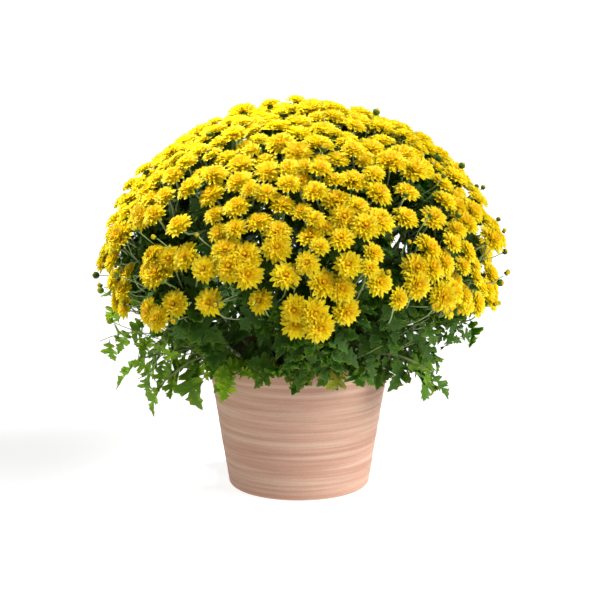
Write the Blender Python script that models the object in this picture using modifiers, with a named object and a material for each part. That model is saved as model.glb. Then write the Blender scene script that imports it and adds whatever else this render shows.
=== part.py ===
"""A pot chrysanthemum in full bloom: a plain terracotta pot, its soil, flowering sprays and leafy shoots.

Metres, +Z up. The origin is the middle of the pot's flat underside.
Each spray is a green node, its stem with leaves and buds, and a yellow node, its blooms."""

import math
import random

import bmesh
import bpy
from mathutils import Matrix, Vector

# The pot
POT_HEIGHT = 0.162
POT_RIM_RADIUS = 0.110
POT_BASE_RADIUS = 0.084
POT_WALL = 0.009
POT_FLOOR = 0.012
POT_LIP_ROUND = 0.003
POT_FOOT_ROUND = 0.006
POT_SIDES = 32
POT_CLEAR = 0.004
DRAIN_HOLES = 3
DRAIN_CIRCLE = 0.030
DRAIN_RADIUS = 0.006

# The soil, and the point below its surface that every flowering stem rises from
SOIL_TOP = 0.146
SOIL_GAP = 0.0004
STEM_DEPTH = 0.016
STEM_GAP = 0.0005
STEM_RADIUS = 0.0030
CROWN = Vector((0, 0, 0.095))

# The dome of blooms, a flattened ball narrowed towards its top, which runs a little below its middle
DOME_CENTRE = Vector((0.003, 0, 0.276))
DOME_RADIUS = 0.230
DOME_RISE = 0.184
DOME_TAPER = 1.12

# Sprays stand on the dome in a spiral that turns by the golden angle, down to a tilt a little past level.
# Those at its left and right hang lower by the side drop.
SPRAYS = 24
SPRAY_TURN = math.radians(137.508)
SPRAY_START = math.radians(-5.7)
FIRST_SPRAY = 0.35
LAST_SPRAY = 0.3
LOWEST_TILT = math.radians(97)
SIDE_DROP = 0.06
SPRAY_TWIST = 1.3
SPRAY_LIFT = 0.25
SPRAY_CURVE = 0.130
SPRAY_ROWS = (2, 3, 2)
NEAR_SPRAYS = 1.2

# Blooms, each a little more than its petals' reach from the next
BLOOM_STEP = 0.0405
ROW_STEP = 0.0355
BLOOM_RADII = (0.0198, 0.0224)
BLOOM_STRAY = 0.0016
BLOOM_TOUCH = 0.83
BLOOM_NOD = 0.04
BLOOM_SEED = 700

# One bloom in shares of its radius: reach and height of its petals' tips, the notches between, the inner row
PETALS = 7
PETAL_TIP = (1.0, -0.02)
PETAL_NOTCH = (0.76, 0.05)
INNER_TIP = (0.56, 0.32)
EYE_HEIGHT = 0.20
BLOOM_DEPTH = 0.50

# Buds at the edge of a spray
BUD_RADIUS = 0.0045
BUD_STAND = 0.012
BUD_REACH = 0.050
BUD_DEPTH = 0.030
BUD_SPOTS = 24
BUDS = 1
BUD_GAP = 0.001
BUD_SEED = 900

# The leafy mass of a spray under its blooms, drawn in to the stem
CORE_SIDES = 6
CORE_REACH = 0.034
CORE_DEPTH = 0.020
CORE_FOOT = 0.38
SEAT_GAP = 0.0003

# Leaves stand in whorls: number, depth below the spray's top and rise.
# The high whorls are on every spray, the lower ones on the outer sprays alone.
LEAF_WHORLS = ((3, 0.028, 0.05), (3, 0.056, 0.45), (2, 0.085, -0.10), (3, 0.112, -0.20))
HIGH_WHORLS = 2
TOP_SPRAYS = 13
LEAF_LENGTHS = (0.052, 0.062)
LEAF_DEPTH = 0.0125
LEAF_DROOP = 0.16
LEAF_SEED = 300

# One leaf in shares of its length: its middle, and the reach of lobes and cuts from there, tip first
LEAF_POINTS = 10
LEAF_MIDDLE = 0.58
LEAF_LOBES = (0.42, 0.21, 0.36, 0.18, 0.27, 0.58)
LEAF_FOLD = 0.25
LEAF_THICKNESS = 0.0020

# Leafy shoots that lean over the rim: turn in degrees, reach from the middle and height of the tip
SHOOTS = (
    (18, 0.165, 0.162),
    (60, 0.185, 0.172),
    (113, 0.180, 0.165),
    (155, 0.185, 0.165),
    (189, 0.190, 0.160),
    (207, 0.180, 0.142),
    (242, 0.160, 0.166),
    (260, 0.138, 0.172),
    (293, 0.142, 0.168),
    (335, 0.170, 0.154),
)
SHOOT_FOOT = 0.088
SHOOT_CREST = (0.109, 0.170)
SHOOT_RADIUS = 0.0022
SHOOT_LEAVES = 8
SHOOT_LEAF_LENGTHS = (0.054, 0.066)
SHOOT_LEAF_DROOP = 0.2
SHOOT_SEED = 500

# Neighbours keep to their own share of the plant: sprays inside the skirt's cone, the shoots' leaves below it
SKIRT_TILT = math.radians(63.0)
SHOOT_TILT = math.radians(63.9)
ROOT_SHARE = 0.35
KEPT_FACES = 0.75
NODE_MARGIN = 0.0008
UP = Vector((0, 0, 1))


def clear_scene():
    for obj in list(bpy.data.objects):
        bpy.data.objects.remove(obj)


def material(name, colour, roughness):
    made = bpy.data.materials.new(name)
    made.use_nodes = True
    shader = made.node_tree.nodes["Principled BSDF"]
    shader.inputs["Base Color"].default_value = (*colour, 1)
    shader.inputs["Roughness"].default_value = roughness
    shader.inputs["Metallic"].default_value = 0
    return made


def object_from(shape, name, collection):
    """Turns a bmesh into an object."""
    mesh = bpy.data.meshes.new(name)
    shape.to_mesh(mesh)
    shape.free()
    made = bpy.data.objects.new(name, mesh)
    collection.objects.link(made)
    return made


def fuse(name, shapes, collection, finish):
    """One body of several shapes that cross: the first, united with a collection of the rest."""
    repeats = bpy.data.collections.new(name + "_repeats")
    body = object_from(shapes[0], name, collection)
    for shape in shapes[1:]:
        object_from(shape, name + "_repeat", repeats)
    union = body.modifiers.new("fuse", "BOOLEAN")
    union.operation = "UNION"
    union.operand_type = "COLLECTION"
    union.collection = repeats
    union.solver = "MANIFOLD"
    slivers = body.modifiers.new("slivers", "DECIMATE")
    slivers.ratio = KEPT_FACES
    graph = bpy.context.evaluated_depsgraph_get()
    fused = bpy.data.meshes.new_from_object(body.evaluated_get(graph))
    body.modifiers.clear()
    body.data = fused
    fused.materials.clear()
    fused.materials.append(finish)
    for repeat in list(repeats.objects):
        bpy.data.objects.remove(repeat)
    bpy.data.collections.remove(repeats)


# Where things stand


def sprays():
    """Each spray's index, middle, across and down directions, facing, stem direction and planes."""
    found = []
    for index in range(SPRAYS):
        share = (index + FIRST_SPRAY) / (SPRAYS - LAST_SPRAY)
        lean = math.acos(1 - share * (1 - math.cos(LOWEST_TILT)))
        turn = SPRAY_START + index * SPRAY_TURN
        lean *= 1 + SIDE_DROP * math.cos(turn) ** 2 * index / SPRAYS
        outward = Vector((math.cos(turn), math.sin(turn), 0))
        offset = outward * math.sin(lean) ** DOME_TAPER * DOME_RADIUS + UP * math.cos(lean) * DOME_RISE
        slope = DOME_RADIUS * DOME_TAPER * math.sin(lean) ** (DOME_TAPER - 1) * math.cos(lean)
        normal = (outward * math.sin(lean) * DOME_RISE + UP * slope).normalized()
        facing = (normal + UP * SPRAY_LIFT).normalized()
        level = Vector((-math.sin(turn), math.cos(turn), 0))
        across = Matrix.Rotation(index * SPRAY_TWIST, 3, facing) @ level
        middle = DOME_CENTRE + offset
        found.append(
            {
                "index": index,
                "middle": middle,
                "across": across,
                "down": facing.cross(across),
                "facing": facing,
                "stem": (middle - CROWN).normalized(),
            }
        )
    for spray in found:
        spray["planes"] = planes_round(spray, found)
    return found


def planes_round(spray, everyone):
    """Normals of the planes through the crown that part a spray from its neighbours and the skirt."""
    found = []
    for other in everyone:
        between = spray["stem"] - other["stem"]
        if 0 < between.length < NEAR_SPRAYS:
            found.append(between.normalized())
    outward = Vector((spray["stem"].x, spray["stem"].y, 0)).normalized()
    found.append(UP * math.sin(SKIRT_TILT) - outward * math.cos(SKIRT_TILT))
    return found


def on_spray(spray, across, down):
    """A place on a spray's gently domed top, and the direction it faces."""
    aside = spray["across"] * across + spray["down"] * down
    drop = (across**2 + down**2) / (2 * SPRAY_CURVE)
    place = spray["middle"] + aside - spray["facing"] * drop
    return place, (spray["facing"] + aside / SPRAY_CURVE).normalized()


def blooms_of(spray):
    """Each bloom of a spray, the middle one first. Each next one crosses an earlier one."""
    draw = random.Random(BLOOM_SEED + spray["index"])
    grid = []
    for row, count in enumerate(SPRAY_ROWS):
        for place in range(count):
            grid.append(((place - (count - 1) / 2) * BLOOM_STEP, (row - 1) * ROW_STEP))
    grid.sort(key=lambda spot: math.hypot(*spot))
    found = []
    for across, down in grid:
        across += draw.uniform(-1, 1) * BLOOM_STRAY
        down += draw.uniform(-1, 1) * BLOOM_STRAY
        radius = draw.uniform(*BLOOM_RADII)
        nod = Vector([draw.uniform(-1, 1) * BLOOM_NOD for _ in range(3)])
        near = None
        for _ in range(4 if found else 1):
            across, down = moved_inside(spray, across, down, radius)
            if found:
                near = nearest(found, across, down)
                aim = math.atan2(down - near["down"], across - near["across"])
                reach = (radius + near["radius"]) * BLOOM_TOUCH
                across = near["across"] + math.cos(aim) * reach
                down = near["down"] + math.sin(aim) * reach
        place, facing = on_spray(spray, across, down)
        found.append(
            {
                "across": across,
                "down": down,
                "place": place,
                "facing": (facing + nod).normalized(),
                "radius": radius,
                "aim": near["place"] - place if near else spray["across"],
            }
        )
    return found


def moved_inside(spray, across, down, radius):
    """A bloom's place on its spray, moved until the whole bloom is inside the spray's planes."""
    for normal in spray["planes"]:
        place, _ = on_spray(spray, across, down)
        short = radius + NODE_MARGIN - (place - CROWN).dot(normal)
        if short > 0:
            across += normal.dot(spray["across"]) * short
            down += normal.dot(spray["down"]) * short
    return across, down


def nearest(blooms, across, down):
    return min(blooms, key=lambda bloom: math.hypot(across - bloom["across"], down - bloom["down"]))


def buds_of(spray, blooms):
    """Tops and roots of a spray's buds, in the widest gaps round the edge of its blooms."""
    draw = random.Random(BUD_SEED + spray["index"])
    spots = []
    for step in range(BUD_SPOTS):
        angle = math.tau * step / BUD_SPOTS
        across, down = BUD_REACH * math.cos(angle), BUD_REACH * math.sin(angle)
        near = nearest(blooms, across, down)
        gap = math.hypot(across - near["across"], down - near["down"]) - near["radius"]
        place, _ = on_spray(spray, across, down)
        room = min((place - CROWN).dot(normal) for normal in spray["planes"])
        spots.append((min(gap, room), across, down))
    spots.sort(reverse=True)
    found = []
    for room, across, down in spots:
        apart = all(math.hypot(across - other[0], down - other[1]) > BUD_REACH for other in found)
        if room > BUD_RADIUS + BUD_GAP and apart and len(found) < BUDS:
            found.append((across, down))
    tops = []
    for across, down in found:
        place, facing = on_spray(spray, across, down)
        root, _ = on_spray(spray, across * 0.5, down * 0.5)
        tops.append((place + facing * draw.uniform(0.2, 1) * BUD_STAND, root - facing * BUD_DEPTH))
    return tops


# What keeps a node clear of its neighbours: each limit gives the move that a point outside it needs


def beside_planes(planes):
    def limit(normal):
        return lambda point: normal * max(0, NODE_MARGIN - (point - CROWN).dot(normal))

    return [limit(normal) for normal in planes]


def above_skirt(point):
    ray = point - CROWN
    return UP * max(0, math.hypot(ray.x, ray.y) / math.tan(SKIRT_TILT) - ray.z)


def above_pot(point):
    near = math.hypot(point.x, point.y) < POT_RIM_RADIUS + POT_CLEAR
    return UP * max(0, POT_HEIGHT + POT_CLEAR - point.z) if near else Vector()


def under_blooms(spray):
    def limit(point):
        aside = point - spray["middle"]
        across, down = aside.dot(spray["across"]), aside.dot(spray["down"])
        highest = -(across**2 + down**2) / (2 * SPRAY_CURVE) - LEAF_DEPTH
        return spray["facing"] * min(0, highest - aside.dot(spray["facing"]))

    return limit


def bend_clear(shape, limits, root=None):
    """Bends a shape inside its limits: each point alone, or with a root the whole, most at its far end."""
    span = max((vertex.co - root).length for vertex in shape.verts) if root else 0
    share = {vertex: (vertex.co - root).length / span if root else 1 for vertex in shape.verts}
    for _ in range(4 if root else 1):
        for limit in limits:
            outer = [vertex for vertex in shape.verts if share[vertex] > ROOT_SHARE]
            moves = {vertex: limit(vertex.co) / share[vertex] for vertex in outer}
            furthest = max(moves.values(), key=lambda move: move.length)
            for vertex in shape.verts:
                vertex.co += furthest * share[vertex] if root else moves[vertex]
    return shape


# Shapes of one bloom, bud, leaf and stem


def star(points, rings):
    """A ball of few faces, and the number of each of its vertices round the axis, or None at the poles."""
    shape = bmesh.new()
    bmesh.ops.create_uvsphere(shape, u_segments=points, v_segments=rings, radius=1)
    step = math.tau / points
    places = {}
    for vertex in shape.verts:
        pole = math.hypot(vertex.co.x, vertex.co.y) < 0.01
        places[vertex] = None if pole else round(math.atan2(vertex.co.y, vertex.co.x) / step) % points
    return shape, places


def bloom(radius):
    """A double flower: an outer row of pointed petals, an inner row set between them, and a sunk eye."""
    shape, places = star(2 * PETALS, 3)
    inner = {place: vertex for vertex, place in places.items() if place is not None and vertex.co.z > 0}
    welds = {}
    for vertex, place in places.items():
        upper = vertex.co.z > 0
        if place is None:
            vertex.co.z = EYE_HEIGHT if upper else -BLOOM_DEPTH
            continue
        if upper:
            reach, height = INNER_TIP
            if place % 2 == 0:
                welds[vertex] = inner[place + 1]
        else:
            reach, height = PETAL_NOTCH if place % 2 else PETAL_TIP
        angle = place * math.pi / PETALS
        vertex.co = Vector((reach * math.cos(angle), reach * math.sin(angle), height))
    bmesh.ops.weld_verts(shape, targetmap=welds)
    bmesh.ops.scale(shape, vec=(radius, radius, radius), verts=shape.verts)
    return shape


def bud(length):
    """A small round bud on a stalk that tapers to a point sunk in the leafy mass."""
    shape, places = star(5, 2)
    for vertex, place in places.items():
        if place is None:
            vertex.co.z = BUD_RADIUS if vertex.co.z > 0 else -length
        else:
            vertex.co = vertex.co.normalized() * BUD_RADIUS
    return shape


def leaf(length, droop):
    """A blade with five lobes and a wedge-shaped foot at the origin, along +X and arched down to its tip."""
    shape, places = star(LEAF_POINTS, 2)
    middle = LEAF_MIDDLE * length
    for vertex, place in places.items():
        if place is None:
            point = Vector((middle, 0, math.copysign(LEAF_THICKNESS / 2, vertex.co.z)))
        else:
            angle = place * math.tau / LEAF_POINTS
            reach = LEAF_LOBES[min(place, LEAF_POINTS - place)] * length
            point = Vector((middle + reach * math.cos(angle), reach * math.sin(angle), 0))
        point.z += LEAF_FOLD * abs(point.y) - droop * point.x**2 / length
        vertex.co = point
    return shape


def stalk(route, radius, aside):
    """A three-sided stalk along a route, with a direction that stays across it."""
    shape, places = star(3, len(route) + 1)
    heights = sorted({round(vertex.co.z, 4) for vertex in shape.verts})
    for vertex, place in places.items():
        level = heights.index(round(vertex.co.z, 4)) - 1
        if place is None:
            vertex.co = route[max(0, min(level, len(route) - 1))]
            continue
        before, after = route[max(level - 1, 0)], route[min(level + 1, len(route) - 1)]
        along = (after - before).normalized()
        outward = aside.cross(along).normalized()
        angle = place * math.tau / 3
        vertex.co = route[level] + (outward * math.cos(angle) + aside * math.sin(angle)) * radius
    return shape


def placed(shape, place, facing, along):
    """Moves a shape from the origin to a place, its +Z to its facing and its +X towards along."""
    side = facing.cross(along).normalized()
    turned = Matrix((side.cross(facing).normalized(), side, facing.normalized())).transposed().to_4x4()
    bmesh.ops.transform(shape, matrix=Matrix.Translation(place) @ turned, verts=shape.verts)
    return shape


def leaf_at(foot, length, droop, along, upward, limits):
    """A leaf with its foot at a place and its rib in a direction, bent clear of its limits."""
    blade = placed(leaf(length, droop), foot, along.cross(upward.cross(along)), along)
    return bend_clear(blade, limits, foot)


# The pieces


def turned_body(name, profile, collection, finish):
    """A round body turned from a profile that starts and ends on the axis."""
    mesh = bpy.data.meshes.new(name)
    mesh.from_pydata([(r, 0, z) for r, z in profile], [(i, i + 1) for i in range(len(profile) - 1)], [])
    made = bpy.data.objects.new(name, mesh)
    made.data.materials.append(finish)
    collection.objects.link(made)
    screw = made.modifiers.new("turned", "SCREW")
    screw.steps = screw.render_steps = POT_SIDES
    screw.use_merge_vertices = True
    screw.merge_threshold = 0.0001
    return made


def pot(collection, finish):
    """A pot with straight leaning sides, and drain holes cut through its floor."""
    slope = (POT_RIM_RADIUS - POT_BASE_RADIUS) / POT_HEIGHT
    lip, foot = POT_LIP_ROUND, POT_FOOT_ROUND
    profile = (
        (0, POT_FLOOR),
        (POT_BASE_RADIUS + slope * POT_FLOOR - POT_WALL, POT_FLOOR),
        (POT_RIM_RADIUS - POT_WALL, POT_HEIGHT - lip),
        (POT_RIM_RADIUS - POT_WALL + lip, POT_HEIGHT),
        (POT_RIM_RADIUS - lip, POT_HEIGHT),
        (POT_RIM_RADIUS, POT_HEIGHT - lip),
        (POT_BASE_RADIUS + slope * foot, foot),
        (POT_BASE_RADIUS - foot, 0),
        (0, 0),
    )
    made = turned_body("pot", profile, collection, finish)
    drains = []
    for hole in range(DRAIN_HOLES):
        turn = math.tau * hole / DRAIN_HOLES
        shape = bmesh.new()
        bmesh.ops.create_cone(
            shape, cap_ends=True, segments=8, radius1=DRAIN_RADIUS, radius2=DRAIN_RADIUS, depth=4 * POT_FLOOR
        )
        place = Vector((DRAIN_CIRCLE * math.cos(turn), DRAIN_CIRCLE * math.sin(turn), 0))
        bmesh.ops.translate(shape, vec=place, verts=shape.verts)
        drains.append(shape)
    cut(made, "drain_holes", drains)


def cut(body, name, shapes):
    """Cuts closed shapes that don't meet each other from a body, as one cutter that isn't rendered."""
    together = bmesh.new()
    for shape in shapes:
        mesh = bpy.data.meshes.new(name)
        shape.to_mesh(mesh)
        shape.free()
        together.from_mesh(mesh)
        bpy.data.meshes.remove(mesh)
    cutter = object_from(together, name, bpy.data.collections["cutters"])
    cutter.hide_render = True
    cutter.display_type = "WIRE"
    hole = body.modifiers.new(name, "BOOLEAN")
    hole.operation = "DIFFERENCE"
    hole.object = cutter


def soil(collection, finish, feet):
    """The soil fills the pot from its floor, with a plain blind hole round the foot of each stem."""
    slope = (POT_RIM_RADIUS - POT_BASE_RADIUS) / POT_HEIGHT
    inside = POT_BASE_RADIUS - POT_WALL - SOIL_GAP
    low = POT_FLOOR + SOIL_GAP
    profile = ((0, SOIL_TOP), (inside + slope * SOIL_TOP, SOIL_TOP), (inside + slope * low, low), (0, low))
    made = turned_body("soil", profile, collection, finish)
    cut(made, "stem_holes", [stalk(route, radius, aside) for route, radius, aside in feet])


def stem_hole(foot, along, radius, aside):
    """The route, radius and side of the hole that a stem stands in, with a gap all round."""
    return (foot - along * STEM_GAP, foot + along * 3 * STEM_DEPTH), radius + 2 * STEM_GAP, aside


def core(spray, first_bloom):
    """The dense middle of a spray: it bears the first bloom, spreads under the rest and narrows down."""
    shape, places = star(CORE_SIDES, 2)
    seat = first_bloom["place"] - first_bloom["facing"] * (first_bloom["radius"] * BLOOM_DEPTH + SEAT_GAP)
    for vertex, place in places.items():
        if place is None:
            vertex.co = seat if vertex.co.z > 0 else CROWN.lerp(spray["middle"], CORE_FOOT)
            continue
        angle = place * math.tau / CORE_SIDES
        spread = spray["across"] * math.cos(angle) + spray["down"] * math.sin(angle)
        vertex.co = spray["middle"] + spread * CORE_REACH - spray["facing"] * CORE_DEPTH
    return bend_clear(shape, beside_planes(spray["planes"]) + [above_skirt])


def spray_leaves(spray):
    """Leaves in whorls down a spray's stem. The low whorls are on the outer sprays, on their outer side."""
    draw = random.Random(LEAF_SEED + spray["index"])
    limits = beside_planes(spray["planes"]) + [above_skirt, above_pot, under_blooms(spray)]
    level = Vector((-spray["stem"].y, spray["stem"].x, 0)).normalized()
    leaves = []
    for whorl, (count, depth, rise) in enumerate(LEAF_WHORLS):
        low = whorl >= HIGH_WHORLS
        if low and spray["index"] < TOP_SPRAYS:
            continue
        for number in range(count):
            angle = math.tau * (number + whorl / 2 + draw.uniform(-0.15, 0.15)) / count
            outward = spray["across"] * math.cos(angle) + spray["down"] * math.sin(angle)
            face = spray["facing"] + UP * 0.3
            if low:
                aside = (number - (count - 1) / 2) * draw.uniform(1.0, 1.6)
                outward = (level.cross(UP) + level * aside).normalized()
                face = outward + UP * 0.5
            foot = spray["middle"] - spray["stem"] * depth + outward * CORE_REACH * (0.5 - depth * 3)
            along = outward + spray["stem"] * (rise + draw.uniform(-0.1, 0.1))
            length = draw.uniform(*LEAF_LENGTHS)
            leaves.append(leaf_at(foot, length, LEAF_DROOP, along, face, limits))
    return leaves


def flowering_spray(spray, collection, green, yellow):
    """A green node of stem, leaves and buds, a yellow one of blooms, and the stem's hole in the soil."""
    label = f"{spray['index'] + 1:02d}"
    limits = beside_planes(spray["planes"]) + [above_skirt]
    blooms = blooms_of(spray)
    heads = []
    for one in blooms:
        head = placed(bloom(one["radius"]), one["place"], one["facing"], one["aim"])
        heads.append(bend_clear(head, limits))
    fuse(f"blooms_{label}", heads, collection, yellow)

    along = spray["stem"]
    foot = CROWN + along * ((SOIL_TOP - STEM_DEPTH - CROWN.z) / along.z)
    aside = along.orthogonal().normalized()
    greens = [core(spray, blooms[0])]
    greens.append(stalk((foot, CROWN.lerp(spray["middle"], CORE_FOOT + 0.2)), STEM_RADIUS, aside))
    greens += spray_leaves(spray)
    for top, root in buds_of(spray, blooms):
        axis = (top - root).normalized()
        greens.append(bend_clear(placed(bud((top - root).length), top, axis, spray["across"]), limits, root))
    fuse(f"spray_{label}", greens, collection, green)
    return stem_hole(foot, along, STEM_RADIUS, aside)


def shoot_route(turn, reach, height):
    """Points of a leafy shoot: up from the soil, close over the rim, out, and down to its tip."""
    crest_reach, crest_height = SHOOT_CREST
    sketch = (
        (SHOOT_FOOT, SOIL_TOP - STEM_DEPTH),
        (SHOOT_FOOT + 0.001, SOIL_TOP + 0.012),
        (crest_reach, crest_height),
        (crest_reach + (reach - crest_reach) * 0.5, crest_height + (height - crest_height) * 0.2),
        (reach, height),
    )
    return [Vector((math.cos(turn) * r, math.sin(turn) * r, z)) for r, z in sketch]


def leafy_shoot(number, collection, green):
    """A leafy stem with no flower, in its own slice of the skirt. Returns its hole in the soil."""
    turn, reach, height = SHOOTS[number]
    turns = [shoot[0] for shoot in SHOOTS]
    before = math.radians((turn - turns[number - 1]) % 360 / 2)
    after = math.radians((turns[(number + 1) % len(turns)] - turn) % 360 / 2)
    turn = math.radians(turn)
    outward = Vector((math.cos(turn), math.sin(turn), 0))
    aside = Vector((-math.sin(turn), math.cos(turn), 0))
    planes = [
        Matrix.Rotation(-before, 3, "Z") @ aside,
        Matrix.Rotation(after, 3, "Z") @ -aside,
        outward * math.cos(SHOOT_TILT) - UP * math.sin(SHOOT_TILT),
    ]
    draw = random.Random(SHOOT_SEED + number)
    route = shoot_route(turn, reach, height)
    greens = [stalk(route, SHOOT_RADIUS, aside)]
    for place in range(SHOOT_LEAVES):
        share = (place + 1) / SHOOT_LEAVES
        start, end = (route[2], route[3]) if share < 0.5 else (route[3], route[4])
        foot = start.lerp(end, share * 2 % 1 if share < 1 else 0.95)
        side = 0 if place == SHOOT_LEAVES - 1 else (-1) ** place
        along = (end - start).normalized() * (0.4 + share * 0.3) + aside * side - UP * draw.uniform(0.1, 0.4)
        length = draw.uniform(*SHOOT_LEAF_LENGTHS)
        face = UP * 0.6 + outward
        greens.append(leaf_at(foot, length, SHOOT_LEAF_DROOP, along, face, beside_planes(planes)))
    fuse(f"leafy_shoot_{number + 1:02d}", greens, collection, green)
    return stem_hole(route[0], (route[1] - route[0]).normalized(), SHOOT_RADIUS, aside)


def main():
    clear_scene()
    collection = bpy.data.collections.new("pot_chrysanthemum")
    bpy.context.scene.collection.children.link(collection)
    cutters = bpy.data.collections.new("cutters")
    bpy.context.scene.collection.children.link(cutters)
    terracotta = material("terracotta", (0.63, 0.36, 0.25), 0.85)
    earth = material("potting_soil", (0.035, 0.024, 0.017), 0.95)
    green = material("leaf_green", (0.045, 0.115, 0.018), 0.55)
    yellow = material("petal_yellow", (0.85, 0.52, 0.01), 0.5)
    pot(collection, terracotta)
    feet = [flowering_spray(spray, collection, green, yellow) for spray in sprays()]
    feet += [leafy_shoot(number, collection, green) for number in range(len(SHOOTS))]
    soil(collection, earth, feet)


main()
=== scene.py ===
import math
import random

import bpy
import numpy as np
from mathutils import Matrix, Vector, noise


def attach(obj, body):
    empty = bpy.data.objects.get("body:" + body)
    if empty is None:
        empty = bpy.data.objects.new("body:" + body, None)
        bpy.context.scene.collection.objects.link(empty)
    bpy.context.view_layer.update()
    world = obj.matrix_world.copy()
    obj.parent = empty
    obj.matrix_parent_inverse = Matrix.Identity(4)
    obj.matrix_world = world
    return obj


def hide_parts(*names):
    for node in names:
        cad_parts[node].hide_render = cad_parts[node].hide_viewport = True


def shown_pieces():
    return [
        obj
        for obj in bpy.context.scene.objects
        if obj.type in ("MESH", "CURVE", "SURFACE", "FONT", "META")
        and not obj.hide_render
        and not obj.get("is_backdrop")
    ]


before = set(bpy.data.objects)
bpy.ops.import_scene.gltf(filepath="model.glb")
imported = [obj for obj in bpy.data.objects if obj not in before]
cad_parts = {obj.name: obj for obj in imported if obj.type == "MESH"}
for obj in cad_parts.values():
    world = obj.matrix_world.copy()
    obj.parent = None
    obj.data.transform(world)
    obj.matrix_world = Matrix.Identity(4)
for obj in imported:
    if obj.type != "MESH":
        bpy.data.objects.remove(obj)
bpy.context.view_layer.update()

up = Vector((0, 0, 1))
print("frame loaded with", len(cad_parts), "nodes")


# All lengths are in metres, and two values in brackets are the least and the most of a random draw

def outwardAt(turn):
    return Vector((math.cos(turn), math.sin(turn), 0))


def sidewaysAt(turn):
    return Vector((-math.sin(turn), math.cos(turn), 0))


def riseShare(height, start, span):
    # 0 up to the start, 1 from the end of the span
    return min(1, max(0, (height - start) / span))


# Where the sprays, blooms and buds stand, by the same rule and the same draws as the solids

dome = {
    "centre": Vector((0.003, 0, 0.276)),
    "radius": 0.230,
    "rise": 0.184,
    "taper": 1.12,
    "crown": Vector((0, 0, 0.095)),
    "sprays": 24,
    "firstShare": 0.35,
    "lastShare": 0.3,
    "turn": math.radians(137.508),
    "start": math.radians(-5.7),
    "twist": 1.3,
    "neighbours": 1.2,
    "lowestTilt": math.radians(97),
    "sideDrop": 0.06,
    "lift": 0.25,
    "curve": 0.130,
    "rows": (2, 3, 2),
    "bloomStep": 0.0405,
    "rowStep": 0.0355,
    "bloomRadii": (0.0198, 0.0224),
    "stray": 0.0016,
    "touch": 0.83,
    "nod": 0.04,
    "margin": 0.0008,
    "skirtTilt": math.radians(63),
    "passes": 4,
    "bloomSeed": 700,
    "budSeed": 900,
    "budSpots": 24,
    "budReach": 0.050,
    "budRadius": 0.0045,
    "budStand": 0.012,
    "budLeast": 0.2,
}


def domeSpot(turn, lean):
    # a place on the dome and the direction out of it
    outward = outwardAt(turn)
    reach = math.sin(lean) ** dome["taper"] * dome["radius"]
    slope = dome["radius"] * dome["taper"] * math.sin(lean) ** (dome["taper"] - 1) * math.cos(lean)
    normal = (outward * math.sin(lean) * dome["rise"] + up * slope).normalized()
    return dome["centre"] + outward * reach + up * math.cos(lean) * dome["rise"], normal


def layOutSprays():
    found = []
    for index in range(dome["sprays"]):
        share = (index + dome["firstShare"]) / (dome["sprays"] - dome["lastShare"])
        lean = math.acos(1 - share * (1 - math.cos(dome["lowestTilt"])))
        turn = dome["start"] + index * dome["turn"]
        lean *= 1 + dome["sideDrop"] * math.cos(turn) ** 2 * index / dome["sprays"]
        middle, normal = domeSpot(turn, lean)
        facing = (normal + up * dome["lift"]).normalized()
        across = Matrix.Rotation(index * dome["twist"], 3, facing) @ sidewaysAt(turn)
        spray = {"index": index, "middle": middle, "across": across, "down": facing.cross(across)}
        spray["facing"] = facing
        spray["stem"] = (middle - dome["crown"]).normalized()
        found.append(spray)
    for spray in found:
        spray["planes"] = []
        for other in found:
            between = spray["stem"] - other["stem"]
            if 0 < between.length < dome["neighbours"]:
                spray["planes"].append(between.normalized())
        outward = Vector((spray["stem"].x, spray["stem"].y, 0)).normalized()
        spray["planes"].append(up * math.sin(dome["skirtTilt"]) - outward * math.cos(dome["skirtTilt"]))
    return found


def onSpray(spray, across, down):
    # a place on the spray's own crowned face and the direction out of it
    aside = spray["across"] * across + spray["down"] * down
    drop = (across**2 + down**2) / (2 * dome["curve"])
    place = spray["middle"] + aside - spray["facing"] * drop
    return place, (spray["facing"] + aside / dome["curve"]).normalized()


def nearestOf(blooms, across, down):
    return min(blooms, key=lambda bloom: math.hypot(across - bloom["across"], down - bloom["down"]))


def bloomsOf(spray):
    # the first bloom stands in the middle, the others close round it and inside the spray's planes
    draw = random.Random(dome["bloomSeed"] + spray["index"])
    grid = []
    for row, count in enumerate(dome["rows"]):
        for place in range(count):
            grid.append(((place - (count - 1) / 2) * dome["bloomStep"], (row - 1) * dome["rowStep"]))
    grid.sort(key=lambda spot: math.hypot(*spot))
    found = []
    for across, down in grid:
        across += draw.uniform(-1, 1) * dome["stray"]
        down += draw.uniform(-1, 1) * dome["stray"]
        radius = draw.uniform(*dome["bloomRadii"])
        nod = Vector([draw.uniform(-1, 1) * dome["nod"] for _ in range(3)])
        for _ in range(dome["passes"] if found else 1):
            for normal in spray["planes"]:
                place, _ = onSpray(spray, across, down)
                short = radius + dome["margin"] - (place - dome["crown"]).dot(normal)
                if short > 0:
                    across += normal.dot(spray["across"]) * short
                    down += normal.dot(spray["down"]) * short
            if found:
                near = nearestOf(found, across, down)
                aim = math.atan2(down - near["down"], across - near["across"])
                reach = (radius + near["radius"]) * dome["touch"]
                across = near["across"] + math.cos(aim) * reach
                down = near["down"] + math.sin(aim) * reach
        place, facing = onSpray(spray, across, down)
        bloom = {"across": across, "down": down, "place": place, "radius": radius}
        bloom["facing"] = (facing + nod).normalized()
        found.append(bloom)
    return found


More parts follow.
